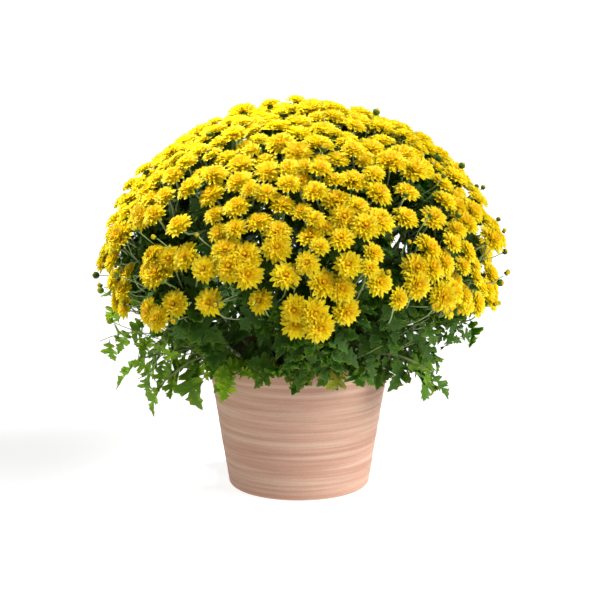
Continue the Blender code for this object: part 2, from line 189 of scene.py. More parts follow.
def solidBudOf(spray, blooms):
    # where the solids have this spray's one bud: in its widest gap
    draw = random.Random(dome["budSeed"] + spray["index"])
    spots = []
    for step in range(dome["budSpots"]):
        angle = math.tau * step / dome["budSpots"]
        across, down = dome["budReach"] * math.cos(angle), dome["budReach"] * math.sin(angle)
        near = nearestOf(blooms, across, down)
        gap = math.hypot(across - near["across"], down - near["down"]) - near["radius"]
        place, _ = onSpray(spray, across, down)
        room = min((place - dome["crown"]).dot(normal) for normal in spray["planes"])
        spots.append((min(gap, room), across, down))
    gap, across, down = max(spots)
    place, facing = onSpray(spray, across, down)
    return place + facing * draw.uniform(dome["budLeast"], 1) * dome["budStand"], facing


def domeShare(point):
    # 1 on the dome, less inside it
    aside = point - dome["centre"]
    level = (math.hypot(aside.x, aside.y) / dome["radius"]) ** (1 / dome["taper"])
    return math.hypot(level, aside.z / dome["rise"])


def domeNormal(point):
    aside = point - dome["centre"]
    square = dome["radius"] ** 2
    return Vector((aside.x / square, aside.y / square, aside.z / dome["rise"] ** 2)).normalized()


sprays = layOutSprays()
for spray in sprays:
    spray["blooms"] = bloomsOf(spray)
print("layout: ", sum(len(spray["blooms"]) for spray in sprays), "blooms on", len(sprays), "sprays")


# The large blooms leave their even places

strayed = {
    "seed": 61,
    "groups": 2,
    "drawnIn": 0.24,
    "lowDrawnIn": 0.16,
    "shrunk": (0.84, 1.0),
    "aside": 0.0030,
    "sunk": 0.0080,
    "nod": 0.24,
    "lift": 0.12,
    "liftFrom": 0.29,
    "liftRise": 0.09,
    "sideLift": 0.40,
}


def strayHeads():
    # heads draw together in small groups, no two stand level, and the upper and side ones look up
    draw = random.Random(strayed["seed"])
    for spray in sprays:
        centres = [bloom["place"].copy() for bloom in draw.sample(spray["blooms"], strayed["groups"])]
        for bloom in spray["blooms"]:
            centre = min(centres, key=lambda spot: (spot - bloom["place"]).length)
            low = 1 - riseShare(bloom["place"].z, strayed["liftFrom"], strayed["liftRise"])
            bloom["place"] += (centre - bloom["place"]) * (strayed["drawnIn"] + strayed["lowDrawnIn"] * low)
            bloom["radius"] *= draw.uniform(*strayed["shrunk"])
            aside = draw.uniform(-1, 1) * strayed["aside"], draw.uniform(-1, 1) * strayed["aside"]
            bloom["place"] += spray["across"] * aside[0] + spray["down"] * aside[1]
            bloom["place"] -= bloom["facing"] * draw.random() ** 2 * strayed["sunk"]
            nod = Vector([draw.uniform(-1, 1) * strayed["nod"] for _ in range(3)])
            lift = riseShare(bloom["place"].z, strayed["liftFrom"], strayed["liftRise"]) * strayed["lift"]
            lift += strayed["sideLift"] * abs(bloom["facing"].x) ** 2
            bloom["facing"] = (bloom["facing"] + nod + up * lift).normalized()


strayHeads()


# Small blooms and buds in the gaps of the dome

filling = {
    "seed": 307,
    "tries": 6400,
    "gaps": (0.0025, 0.0230),
    "patches": 10.1,
    "contrast": 1.9,
    "lowest": 0.270,
    "sideLowest": 0.228,
    "highFrom": 0.31,
    "highRise": 0.10,
    "highFill": 0.92,
    "evenFill": 0.5,
    "bloomRadii": (0.0135, 0.0190),
    "sink": (-0.003, 0.010),
    "nod": 0.25,
    "blooms": 240,
    "overlap": 0.0095,
    "sideTilt": math.radians(109),
    "budGap": 0.004,
    "budApart": 0.030,
    "budStand": (0.004, 0.018),
    "budRadii": (0.0029, 0.0042),
    "buds": 70,
    "openBuds": 0.35,
}


def sprayNearest(point):
    ray = (point - dome["crown"]).normalized()
    return max(sprays, key=lambda spray: spray["stem"].dot(ray))


def gapAt(point, everyone):
    return min((point - bloom["place"]).length - bloom["radius"] for bloom in everyone)


def fillGaps():
    # tries a seeded row of places: a small bloom goes where the gap is wide, or else a bud
    draw = random.Random(filling["seed"])
    everyone = [bloom for spray in sprays for bloom in spray["blooms"]]
    added, buds = 0, []
    for spray in sprays:
        spray["small"], spray["buds"] = [], []
        place, facing = solidBudOf(spray, spray["blooms"])
        bud = {"place": place, "facing": facing, "radius": dome["budRadius"], "open": False}
        spray["buds"].append(bud)
        buds.append(place)
    for _ in range(filling["tries"]):
        turn = draw.uniform(0, math.tau)
        sideways = math.cos(turn) ** 2
        lowestTilt = dome["lowestTilt"] + (filling["sideTilt"] - dome["lowestTilt"]) * sideways
        lowest = filling["lowest"] + (filling["sideLowest"] - filling["lowest"]) * sideways
        lean = math.acos(1 - draw.random() * (1 - math.cos(lowestTilt)))
        surface, normal = domeSpot(turn, lean)
        radius = draw.uniform(*filling["bloomRadii"])
        place = surface - normal * draw.uniform(*filling["sink"])
        nod = Vector([draw.uniform(-1, 1) * filling["nod"] for _ in range(3)])
        stand = draw.uniform(*filling["budStand"])
        size = draw.uniform(*filling["budRadii"])
        opening = draw.random() < filling["openBuds"]
        gap = gapAt(place, everyone)
        lift = dome["lift"] + strayed["sideLift"] * normal.x**2
        facing = (normal + up * lift + nod).normalized()
        spray = sprayNearest(place)
        high = riseShare(place.z, filling["highFrom"], filling["highRise"])
        patch = filling["evenFill"] + filling["contrast"] * noise.noise(place * filling["patches"])
        near, far = filling["gaps"]
        least = near + (far - near) * min(1, max(0, patch)) * (1 - filling["highFill"] * high)
        if place.z < lowest:
            continue
        if gap > least and added < filling["blooms"]:
            bloom = {"place": place, "facing": facing, "radius": min(radius, gap + filling["overlap"])}
            spray["small"].append(bloom)
            everyone.append(bloom)
            added += 1
            continue
        top = surface + normal * stand
        apart = min((top - other).length for other in buds)
        if gap > filling["budGap"] and apart > filling["budApart"] and len(buds) < filling["buds"]:
            spray["buds"].append({"place": top, "facing": facing, "radius": size, "open": opening})
            buds.append(top)
    return added, len(buds)


print("small blooms and buds in the gaps:", fillGaps())


# Materials

colours = {
    "petalTip": (1.00, 0.80, 0.010),
    "petalBody": (1.00, 0.73, 0.001),
    "petalBase": (0.99, 0.60, 0.001),
    "petalHeart": (1.00, 0.60, 0.001),
    "eye": (0.52, 0.22, 0.001),
    "eyeRim": (0.92, 0.52, 0.001),
    # the dark end of the leaf ramp, taken by the leaves under the blooms: partly their own dark green,
    # partly painted shade
    "leafDark": (0.009, 0.027, 0.003),
    "leafMiddle": (0.038, 0.100, 0.006),
    # the light end of the leaf ramp, taken mostly by the leaves on the left: painted light, the back light
    # shining through them
    "leafBright": (0.340, 0.600, 0.010),
    "leafVein": (0.080, 0.165, 0.020),
    "leafUnder": (0.050, 0.115, 0.018),
    "leafFaded": (0.480, 0.400, 0.030),
    "stemGreen": (0.300, 0.420, 0.150),
    "stemWood": (0.270, 0.310, 0.130),
    "budTip": (0.36, 0.19, 0.002),
    "budGold": (0.70, 0.42, 0.002),
    "clay": (0.500, 0.280, 0.195),
    "clayPale": (0.590, 0.390, 0.290),
    "clayDeep": (0.420, 0.205, 0.135),
    "soil": (0.028, 0.019, 0.013),
    "soilPale": (0.075, 0.052, 0.036),
    "floor": (0.45, 0.45, 0.45),
}


def newMaterial(name, roughness):
    made = bpy.data.materials.new(name)
    made.use_nodes = True
    tree = made.node_tree
    shader = tree.nodes["Principled BSDF"]
    shader.inputs["Roughness"].default_value = roughness
    shader.inputs["Metallic"].default_value = 0
    return made, tree, shader


def addNode(tree, kind, **values):
    node = tree.nodes.new(kind)
    for name, value in values.items():
        setattr(node, name, value)
    return node


def attributeOf(tree, name):
    return addNode(tree, "ShaderNodeAttribute", attribute_name=name).outputs["Fac"]


def mathNode(tree, operation, first, second=0.0, clamp=False):
    node = addNode(tree, "ShaderNodeMath", operation=operation, use_clamp=clamp)
    for socket, value in zip(node.inputs, (first, second)):
        if isinstance(value, (int, float)):
            socket.default_value = value
        else:
            tree.links.new(value, socket)
    return node.outputs[0]


def rampNode(tree, factor, stops):
    node = addNode(tree, "ShaderNodeValToRGB")
    for number, (place, colour) in enumerate(stops):
        stop = node.color_ramp.elements[number] if number < 2 else node.color_ramp.elements.new(place)
        stop.position = place
        stop.color = (*colour, 1)
    tree.links.new(factor, node.inputs["Fac"])
    return node.outputs["Color"]


def mixNode(tree, factor, first, second, blend="MIX"):
    node = addNode(tree, "ShaderNodeMix", data_type="RGBA", blend_type=blend)
    for name, value in (("Factor", factor), ("A", first), ("B", second)):
        socket = [one for one in node.inputs if one.name == name and one.enabled][0]
        if isinstance(value, (int, float)):
            socket.default_value = value
        elif isinstance(value, tuple):
            socket.default_value = (*value, 1)
        else:
            tree.links.new(value, socket)
    return [one for one in node.outputs if one.enabled][0]


def noiseNode(tree, vector, scale, detail=3.0, stretch=None):
    node = addNode(tree, "ShaderNodeTexNoise")
    node.inputs["Scale"].default_value = scale
    node.inputs["Detail"].default_value = detail
    if stretch:
        mapping = addNode(tree, "ShaderNodeMapping")
        mapping.inputs["Scale"].default_value = stretch
        tree.links.new(vector, mapping.inputs["Vector"])
        vector = mapping.outputs["Vector"]
    tree.links.new(vector, node.inputs["Vector"])
    return node.outputs["Fac"]


def bumpNode(tree, shader, height, distance, strength=1.0):
    node = addNode(tree, "ShaderNodeBump")
    node.inputs["Distance"].default_value = distance
    node.inputs["Strength"].default_value = strength
    tree.links.new(height, node.inputs["Height"])
    tree.links.new(node.outputs["Normal"], shader.inputs["Normal"])


def textureSpace(tree, kind):
    # Object places, or UV split into X and Y
    space = addNode(tree, "ShaderNodeTexCoord").outputs[kind]
    if kind == "Object":
        return space
    split = addNode(tree, "ShaderNodeSeparateXYZ")
    tree.links.new(space, split.inputs[0])
    return split.outputs


def softLight(shader, look):
    shader.inputs["Specular IOR Level"].default_value = look["specular"]
    shader.inputs["Subsurface Weight"].default_value = look["through"]
    shader.inputs["Subsurface Radius"].default_value = look["throughColour"]
    shader.inputs["Subsurface Scale"].default_value = look["throughDepth"]


petalLook = {
    "roughness": 0.55,
    "specular": 0.2,
    "through": 0.45,
    "throughColour": (1.0, 0.7, 0.1),
    "throughDepth": 0.008,
    "bodyPlace": 0.45,
    "toneSpan": 0.22,
    "toneLeast": 0.86,
    "grooves": 8,
    "grooveDepth": 0.0002,
    "grooveStrength": 0.5,
}


def petalMaterial():
    made, tree, shader = newMaterial("yellowPetal", petalLook["roughness"])
    softLight(shader, petalLook)
    uv = textureSpace(tree, "UV")
    body = (petalLook["bodyPlace"], colours["petalBody"])
    along = rampNode(tree, uv["Y"], ((0.0, colours["petalBase"]), (1.0, colours["petalTip"]), body))
    heart = mixNode(tree, attributeOf(tree, "heart"), along, colours["petalHeart"])
    tone = mathNode(tree, "MULTIPLY_ADD", attributeOf(tree, "tone"), petalLook["toneSpan"])
    tone.node.inputs[2].default_value = petalLook["toneLeast"]
    tree.links.new(mixNode(tree, 1.0, heart, tone, "MULTIPLY"), shader.inputs["Base Color"])
    grooves = mathNode(tree, "SINE", mathNode(tree, "MULTIPLY", uv["X"], math.tau * petalLook["grooves"]))
    bumpNode(tree, shader, grooves, petalLook["grooveDepth"], petalLook["grooveStrength"])
    return made


leafLook = {
    "roughness": 0.58,
    "specular": 0.12,
    "through": 0.20,
    "throughColour": (0.5, 1.0, 0.2),
    "throughDepth": 0.003,
    "patchSize": 60,
    "patchSpan": 0.22,
    "darkPlace": 0.10,
    "middlePlace": 0.50,
    "ribWidth": 0.012,
    "veins": 9,
    "veinSlant": 0.5,
    "veinWidth": 0.93,
    "veinShare": 0.45,
    "underShare": 0.55,
    "veinDepth": 0.0002,
    "veinStrength": 0.5,
}


def leafMaterial():
    made, tree, shader = newMaterial("leafGreen", leafLook["roughness"])
    softLight(shader, leafLook)
    uv = textureSpace(tree, "UV")
    patches = noiseNode(tree, textureSpace(tree, "Object"), leafLook["patchSize"])
    spread = mathNode(tree, "MULTIPLY", patches, leafLook["patchSpan"])
    tone = mathNode(tree, "ADD", attributeOf(tree, "tone"), spread, True)
    dark = leafLook["darkPlace"], colours["leafDark"]
    middle = leafLook["middlePlace"], colours["leafMiddle"]
    green = rampNode(tree, tone, (dark, (1.0, colours["leafBright"]), middle))
    # UV X is 0.5 on the upper rib and past a quarter from it on the underside
    off = mathNode(tree, "ABSOLUTE", mathNode(tree, "SUBTRACT", uv["X"], 0.5))
    under = mathNode(tree, "GREATER_THAN", off, 0.25)
    rib = mathNode(tree, "LESS_THAN", off, leafLook["ribWidth"])
    slant = mathNode(tree, "SUBTRACT", uv["Y"], mathNode(tree, "MULTIPLY", off, leafLook["veinSlant"]))
    side = mathNode(tree, "SINE", mathNode(tree, "MULTIPLY", slant, math.tau * leafLook["veins"]))
    veins = mathNode(tree, "MAXIMUM", rib, mathNode(tree, "GREATER_THAN", side, leafLook["veinWidth"]))
    veinShare = mathNode(tree, "MULTIPLY", veins, leafLook["veinShare"])
    veined = mixNode(tree, veinShare, green, colours["leafVein"])
    underShare = mathNode(tree, "MULTIPLY", under, leafLook["underShare"])
    both = mixNode(tree, underShare, veined, colours["leafUnder"])
    faded = mixNode(tree, attributeOf(tree, "heart"), both, colours["leafFaded"])
    tree.links.new(faded, shader.inputs["Base Color"])
    height = mathNode(tree, "SUBTRACT", side, mathNode(tree, "MULTIPLY", rib, 2))
    bumpNode(tree, shader, height, leafLook["veinDepth"], leafLook["veinStrength"])
    return made


stemLook = {
    "roughness": 0.6,
    "heightScale": 9.0,
    "heightStart": -1.45,
    "fibres": 300,
    "fibreShape": (1, 1, 0.15),
    "fibreShare": 0.5,
    "fibreDepth": 0.0004,
}


def stemMaterial():
    # woody low down, green under the blooms
    made, tree, shader = newMaterial("stemGreen", stemLook["roughness"])
    place = textureSpace(tree, "Object")
    split = addNode(tree, "ShaderNodeSeparateXYZ")
    tree.links.new(place, split.inputs[0])
    height = mathNode(tree, "MULTIPLY_ADD", split.outputs["Z"], stemLook["heightScale"], True)
    height.node.inputs[2].default_value = stemLook["heightStart"]
    fibres = noiseNode(tree, place, stemLook["fibres"], 2, stemLook["fibreShape"])
    green = mixNode(tree, height, colours["stemWood"], colours["stemGreen"])
    fibrous = mixNode(tree, stemLook["fibreShare"], green, fibres, "OVERLAY")
    tree.links.new(fibrous, shader.inputs["Base Color"])
    bumpNode(tree, shader, fibres, stemLook["fibreDepth"])
    return made


clayLook = {
    "roughness": 0.82,
    "bands": (11, 6, (0.5, 0.5, 20.0)),
    "wash": (7, 5, (0.6, 0.6, 3.5)),
    "grains": (900, 2),
    "deepPlace": 0.38,
    "clayPlace": 0.50,
    "palePlace": 0.64,
    "washShare": 0.55,
    "grainShare": 0.25,
    "bandHeight": 1.5,
    "grainHeight": 0.35,
    "depth": 0.0007,
}


def clayMaterial():
    # streaks from turning, a pale wash over them, and fine grain
    made, tree, shader = newMaterial("terracotta", clayLook["roughness"])
    place = textureSpace(tree, "Object")
    bands = noiseNode(tree, place, *clayLook["bands"])
    wash = noiseNode(tree, place, *clayLook["wash"])
    grains = noiseNode(tree, place, *clayLook["grains"])
    deep = clayLook["deepPlace"], colours["clayDeep"]
    pale = clayLook["palePlace"], colours["clayPale"]
    clay = rampNode(tree, bands, (deep, pale, (clayLook["clayPlace"], colours["clay"])))
    washShare = mathNode(tree, "MULTIPLY", wash, clayLook["washShare"])
    washed = mixNode(tree, washShare, clay, colours["clayPale"])
    grainy = mixNode(tree, clayLook["grainShare"], washed, grains, "OVERLAY")
    tree.links.new(grainy, shader.inputs["Base Color"])
    bandHeight = mathNode(tree, "MULTIPLY", bands, clayLook["bandHeight"])
    grainHeight = mathNode(tree, "MULTIPLY", grains, clayLook["grainHeight"])
    bumpNode(tree, shader, mathNode(tree, "ADD", bandHeight, grainHeight), clayLook["depth"])
    return made


grainyLooks = {
    # material, roughness, specular, grain scale and detail, bump, places and colours of the grain
    "eye": ("flowerEye", 0.7, 0.1, (1400, 3), 0.0004, ((0.35, "eye"), (0.65, "eyeRim"))),
    "bud": ("budTip", 0.65, 0.1, (500, 3), 0.0003, ((0.3, "budTip"), (0.7, "budGold"))),
    "soil": ("pottingSoil", 0.95, 0.5, (350, 6), 0.002, ((0.35, "soil"), (0.75, "soilPale"))),
}


def grainyMaterial(name, roughness, specular, grain, depth, stops):
    made, tree, shader = newMaterial(name, roughness)
    shader.inputs["Specular IOR Level"].default_value = specular
    grains = noiseNode(tree, textureSpace(tree, "Object"), *grain)
    grained = rampNode(tree, grains, [(place, colours[colour]) for place, colour in stops])
    tree.links.new(grained, shader.inputs["Base Color"])
    bumpNode(tree, shader, grains, depth)
    return made


finishes = {name: grainyMaterial(*look) for name, look in grainyLooks.items()}
finishes["petal"] = petalMaterial()
finishes["leaf"] = leafMaterial()
finishes["stem"] = stemMaterial()
finishes["clay"] = clayMaterial()
print("materials made")


# Working with objects

def selectOnly(piece):
    bpy.ops.object.select_all(action="DESELECT")
    piece.select_set(True)
    bpy.context.view_layer.objects.active = piece


def copyOf(model, matrix, **values):
    piece = model.copy()
    piece.data = model.data.copy()
    piece.data.transform(matrix)
    for name, value in values.items():
        numbers = np.full(len(piece.data.vertices), value, np.float32)
        piece.data.attributes[name].data.foreach_set("value", numbers)
    bpy.context.collection.objects.link(piece)
    return piece


def finishModel(piece, finish, sharpAngle=None):
    # smooth shading, one finish, and the two values that the petal and leaf finishes read
    selectOnly(piece)
    if sharpAngle:
        bpy.ops.object.shade_smooth_by_angle(angle=sharpAngle)
    else:
        bpy.ops.object.shade_smooth()
    piece.data.materials.clear()
    piece.data.materials.append(finishes[finish])
    for attribute in ("tone", "heart"):
        piece.data.attributes.new(attribute, "FLOAT", "POINT")
    return piece


def putAside(model):
    # a model is only copied from, so it leaves the scene
    bpy.context.collection.objects.unlink(model)
    return model


def gather(name, parts):
    bpy.ops.object.select_all(action="DESELECT")
    for part in parts:
        part.select_set(True)
    bpy.context.view_layer.objects.active = parts[0]
    if len(parts) > 1:
        bpy.ops.object.join()
    parts[0].name = name
    parts[0].data.name = name
    return parts[0]


def turnTo(place, facing, along, size=1.0):
    side = facing.cross(along).normalized()
    turned = Matrix((side.cross(facing).normalized(), side, facing.normalized())).transposed().to_4x4()
    return Matrix.Translation(place) @ turned @ Matrix.Scale(size, 4)


def makeBlade(name, rings, form, shape, finish):
    # a ball with four sides, laid along X and flattened: two edges, an upper and a lower rib
    bpy.ops.mesh.primitive_uv_sphere_add(segments=4, ring_count=len(rings) + 1, radius=1)
    blade = bpy.context.object
    blade.name = name
    bpy.ops.object.mode_set(mode="EDIT")
    bpy.ops.transform.rotate(value=-math.pi / 2, orient_axis="Y", center_override=(0, 0, 0))
    bpy.ops.object.mode_set(mode="OBJECT")
    steps = [-math.cos(math.pi * (number + 1) / (len(rings) + 1)) for number in range(len(rings))]
    for vertex in blade.data.vertices:
        if abs(vertex.co.x) > 0.999:  # the two poles are its foot and its tip
            vertex.co = shape((1.0 if vertex.co.x > 0 else 0.0, 0.0, 0.0))
            continue
        nearest = min(range(len(steps)), key=lambda number: abs(steps[number] - vertex.co.x))
        edge, half, rib = rings[nearest]
        if abs(vertex.co.y) > abs(vertex.co.z):
            vertex.co = shape((edge, math.copysign(half, vertex.co.y), 0.0))
        else:
            vertex.co = shape((rib, 0.0, math.copysign(form["thickness"] / 2, vertex.co.z)))
    return putAside(finishModel(blade, finish, form["sharpAngle"]))


# Petals and blooms

petalForm = {
    # edge place, half width and rib place of each cross-section, foot to tip
    "outerRings": ((0.20, 0.50, 0.18), (0.58, 1.00, 0.56), (0.84, 0.62, 0.88)),
    "innerRings": ((0.30, 0.75, 0.28), (0.74, 0.85, 0.77)),
    "thickness": 0.035,
    "channel": 0.12,
    "sharpAngle": math.radians(50),
}

bloomForm = {
    "seed": 21,
    "variants": 6,
    # petals, radius and height of their feet, of their tips, width, curl
    "layers": (
        (20, 0.10, -0.14, 1.05, -0.03, 0.158, -0.10),
        (19, 0.09, -0.07, 0.94, 0.13, 0.155, -0.06),
        (17, 0.08, -0.01, 0.80, 0.28, 0.150, 0.02),
        (14, 0.07, 0.05, 0.61, 0.39, 0.140, 0.10),
        (11, 0.06, 0.09, 0.38, 0.43, 0.120, 0.20),
    ),
    "smallLayers": (
        (17, 0.10, -0.12, 1.05, -0.01, 0.175, -0.08),
        (15, 0.09, -0.05, 0.90, 0.18, 0.165, -0.03),
        (12, 0.08, 0.03, 0.68, 0.34, 0.165, 0.06),
        (9, 0.07, 0.07, 0.42, 0.42, 0.135, 0.18),
    ),
    "hearts": (0.0, 0.05, 0.18, 0.45, 0.80),
    "smallHearts": (0.0, 0.05, 0.18, 0.7),
    "openHearts": (0.1, 0.2, 0.5),
    "openSpread": 0.5,
    "smallSeed": 71,
    "turnStray": 0.30,
    "longStray": (-0.14, 0.04),
    "raiseStray": 0.05,
    "rollStray": 0.4,
    "wideStray": (0.88, 1.1),
    "eyeRadius": 0.115,
    "eyeHeight": 0.31,
    "eyeFlat": 0.7,
    "eyeDimple": 0.35,
    "eyeRough": 0.06,
    "openBud": (
        (9, 0.05, 0.00, 0.42, 0.80, 0.300, 0.45),
        (8, 0.04, 0.05, 0.30, 0.86, 0.280, 0.45),
        (6, 0.03, 0.10, 0.15, 0.90, 0.250, 0.40),
    ),
}


def makePetal(curl, rings):
    def shape(point):
        x, y, z = point
        return Vector((x, y, z + petalForm["channel"] * abs(y) + curl * (x * x - x)))

    return makeBlade("petal", petalForm[rings], petalForm, shape, "petal")


def petalAt(model, angle, ends, width, roll, tone, heart):
    foot, footHeight, tip, tipHeight = ends
    length = math.hypot(tip - foot, tipHeight - footHeight)
    raised = math.atan2(tipHeight - footHeight, tip - foot)
    matrix = (
        Matrix.Rotation(angle, 4, "Z")
        @ Matrix.Translation((foot, 0, footHeight))
        @ Matrix.Rotation(-raised, 4, "Y")
        @ Matrix.Rotation(roll, 4, "X")
        @ Matrix.Diagonal((length, width, length, 1))
    )
    return copyOf(model, matrix, tone=tone, heart=heart)


def strayOf(draw, name):
    return draw.uniform(-bloomForm[name], bloomForm[name])


def makeHead(layers, hearts, seed, petals, spread):
    draw = random.Random(seed)
    parts = []
    for number, (count, foot, footHeight, tip, tipHeight, width, _) in enumerate(layers):
        start = draw.uniform(0, math.tau)
        for place in range(count):
            angle = start + math.tau * (place + strayOf(draw, "turnStray")) / count
            long = 1 + draw.uniform(*bloomForm["longStray"])
            raised = strayOf(draw, "raiseStray") * spread
            roll = strayOf(draw, "rollStray")
            tone = draw.random()
            wide = width * draw.uniform(*bloomForm["wideStray"])
            ends = foot, footHeight, tip * long, tipHeight + raised
            parts.append(petalAt(petals[number], angle, ends, wide, roll, tone, hearts[number]))
    return parts, draw


def makeEye(draw):
    bpy.ops.mesh.primitive_uv_sphere_add(segments=8, ring_count=4, radius=bloomForm["eyeRadius"])
    eye = bpy.context.object
    for vertex in eye.data.vertices:
        flat = math.hypot(vertex.co.x, vertex.co.y) / bloomForm["eyeRadius"]
        dimple = bloomForm["eyeDimple"] * max(0, 1 - flat) ** 2 if vertex.co.z > 0 else 0
        sunk = (dimple + strayOf(draw, "eyeRough")) * bloomForm["eyeRadius"]
        vertex.co.z = vertex.co.z * bloomForm["eyeFlat"] + bloomForm["eyeHeight"] - sunk
    return finishModel(eye, "eye")


def makeBlooms(layers, hearts, seed):
    # only the lowest layer's petals show their full outline
    petals = [makePetal(layers[0][6], "outerRings")]
    petals += [makePetal(layer[6], "innerRings") for layer in layers[1:]]
    made = []
    for number in range(bloomForm["variants"]):
        parts, draw = makeHead(layers, hearts, seed + number, petals, 1)
        parts.append(makeEye(draw))
        made.append(putAside(gather("bloomModel", parts)))
    return made


def makeOpenBud():
    petals = [makePetal(layer[6], "outerRings") for layer in bloomForm["openBud"]]
    layers, hearts, spread = bloomForm["openBud"], bloomForm["openHearts"], bloomForm["openSpread"]
    parts, _ = makeHead(layers, hearts, bloomForm["seed"], petals, spread)
    return putAside(gather("openBudModel", parts))


bloomModels = makeBlooms(bloomForm["layers"], bloomForm["hearts"], bloomForm["seed"])
smallBloomModels = makeBlooms(bloomForm["smallLayers"], bloomForm["smallHearts"], bloomForm["smallSeed"])
openBudModel = makeOpenBud()
print("bloom modelled with", len(bloomModels[0].data.polygons), "faces")


# Leaves, cups under the blooms, and buds

leafForm = {
    # edge place, half width and rib place of each cross-section, foot to tip
    "rings": (
        (0.100, 0.012, 0.08),
        (0.200, 0.022, 0.15),
        (0.235, 0.100, 0.19),
        (0.250, 0.215, 0.22),
        (0.335, 0.235, 0.26),
        (0.360, 0.150, 0.30),
        (0.375, 0.065, 0.35),
        (0.440, 0.200, 0.39),
        (0.475, 0.335, 0.43),
        (0.575, 0.375, 0.48),
        (0.600, 0.285, 0.52),
        (0.660, 0.270, 0.555),
        (0.615, 0.150, 0.585),
        (0.600, 0.065, 0.61),
        (0.700, 0.150, 0.66),
        (0.735, 0.225, 0.71),
        (0.800, 0.140, 0.77),
        (0.865, 0.165, 0.83),
        (0.890, 0.075, 0.87),
        (0.950, 0.050, 0.93),
    ),
    "thickness": 0.014,
    "fold": 0.30,
    "wave": 0.14,
    "waves": 17,
    "halvesApart": 1.7,
    "shortened": 0.3,
    "droops": (0.10, 0.22, 0.38, 0.55),
    "sharpAngle": math.radians(60),
}

cupForm = {
    "ridges": 5,
    "ridge": 0.12,
    "lowRadius": 0.30,
    "topRadius": 0.24,
    "topFrom": 0.2,
    "height": 0.19,
    "sunk": 0.25,
}

budForm = {
    "lobes": 5,
    "lobe": 0.06,
    "rim": 0.58,
    "rimWave": 0.20,
    "tipRadius": 0.84,
    "tipLong": 1.05,
    "tipRise": 0.12,
    "tipWaves": 7,
    "tipWave": 0.05,
}


def makeLeaf(number, droop):
    def shape(point):
        x, y, z = point
        phase = number * 2 + (leafForm["halvesApart"] if y > 0 else 0)
        wave = leafForm["wave"] * math.sin(x * leafForm["waves"] + phase) * abs(y)
        short = droop * leafForm["shortened"] * x**3
        return Vector((x - short, y, z + leafForm["fold"] * abs(y) + wave - droop * x**2))

    return makeBlade("leaf", leafForm["rings"], leafForm, shape, "leaf")


def makeCup():
    # the green bracts under a bloom
    bpy.ops.mesh.primitive_uv_sphere_add(segments=10, ring_count=4, radius=1)
    cup = bpy.context.object
    for vertex in cup.data.vertices:
        x, y, z = vertex.co
        ridge = 1 + cupForm["ridge"] * math.cos(cupForm["ridges"] * math.atan2(y, x))
        wide = cupForm["lowRadius" if z < cupForm["topFrom"] else "topRadius"]
        vertex.co = (x * wide * ridge, y * wide * ridge, z * cupForm["height"] - cupForm["sunk"])
    return putAside(finishModel(cup, "leaf"))


def makeBud():
    # a green cup of bracts round a yellow tip
    bpy.ops.mesh.primitive_uv_sphere_add(segments=10, ring_count=7, radius=1)
    cup = bpy.context.object
    for vertex in cup.data.vertices:
        x, y, z = vertex.co
        lobe = math.cos(budForm["lobes"] * math.atan2(y, x))
        wide = 1 + budForm["lobe"] * lobe * (1 if z > -0.5 else 0)
        vertex.co = (x * wide, y * wide, min(z, budForm["rim"] + budForm["rimWave"] * lobe))
    bpy.ops.mesh.primitive_uv_sphere_add(segments=10, ring_count=6, radius=budForm["tipRadius"])
    tip = bpy.context.object
    for vertex in tip.data.vertices:
        x, y, z = vertex.co
        wave = budForm["tipWave"] * math.cos(budForm["tipWaves"] * math.atan2(y, x))
        vertex.co.z = z * budForm["tipLong"] + budForm["tipRise"] + wave
    return putAside(gather("budModel", [finishModel(cup, "leaf"), finishModel(tip, "bud")]))


leafModels = [makeLeaf(number, droop) for number, droop in enumerate(leafForm["droops"])]
cupModel = makeCup()
budModel = makeBud()
print("leaf modelled with", len(leafModels[0].data.polygons), "faces")


# Flowering sprays

stemForm = {
    "mainRadii": (0.0030, 0.0018),
    "sideRadius": 0.0011,
    "budRadius": 0.0006,
    "flare": 1.4,
    "soilTop": 0.146,
    "stemDepth": 0.016,
    "steps": 7,
    "bends": (0.4, 0.35),
    "branchDepths": (0.070, 0.125),
    "topDepth": 0.6,
    "bloomSeat": 0.42,
    "budSeat": 0.8,
    "openBudSize": 1.9,
    "openCupSize": 2.6,
    "openCupRise": 0.9,
    "cupTones": (0.3, 0.6),
    "budTones": (0.25, 0.50),
}

foliage = {
    "seed": 300,
    # place along the side stem and length of each leaf
    "sideLeaves": ((0.20, 0.050), (0.40, 0.048), (0.58, 0.043), (0.74, 0.036)),
    # leaves under the blooms take the dark end of the tone ramp: partly their own dark green, partly
    # painted shade
    "tones": (0.0, 0.32),
    "stemLeaves": 10,
    "stemLeafFrom": 0.35,
    "stemLeafSpan": 0.6,
    "stemLeafLengths": (0.038, 0.052),
    # the trunk's leaves under the blooms are kept dark: partly their own dark green, partly painted shade
    "stemLeafTones": (0.0, 0.35),
    "highest": 0.950,
    "tiltTries": 6,
    "tiltShare": 4,
    "freeBelow": 0.2,
}

leafPose = {
    "turn": 2.4,
    "turnStray": 0.5,
    "lengthStray": (0.8, 1.2),
    "forward": (0.2, 0.8),
    "faceUp": 0.5,
    "faceStray": 0.3,
    "looseFall": 0.5,
    "looseFace": 1.6,
}

lowFoliage = {
    "firstSpray": 13,
    "leaves": 15,
    "moreRight": 0.5,
    "from": 0.38,
    "span": 0.60,
    "lengths": (0.032, 0.046),
    "side": (0.2, 1.3),
    "out": (0.6, 1.2),
    "fall": (0.0, 0.8),
    "faceOut": 0.7,
    "faceStray": 0.4,
    # the low leaves are kept dark: partly their own dark green, partly painted shade
    "tones": (0.0, 0.35),
}

stalks = {
    "below": 0.325,
    "share": 0.55,
    "radius": 0.0009,
    "from": (0.42, 0.62),
    "lean": 0.3,
    "steps": 8,
}


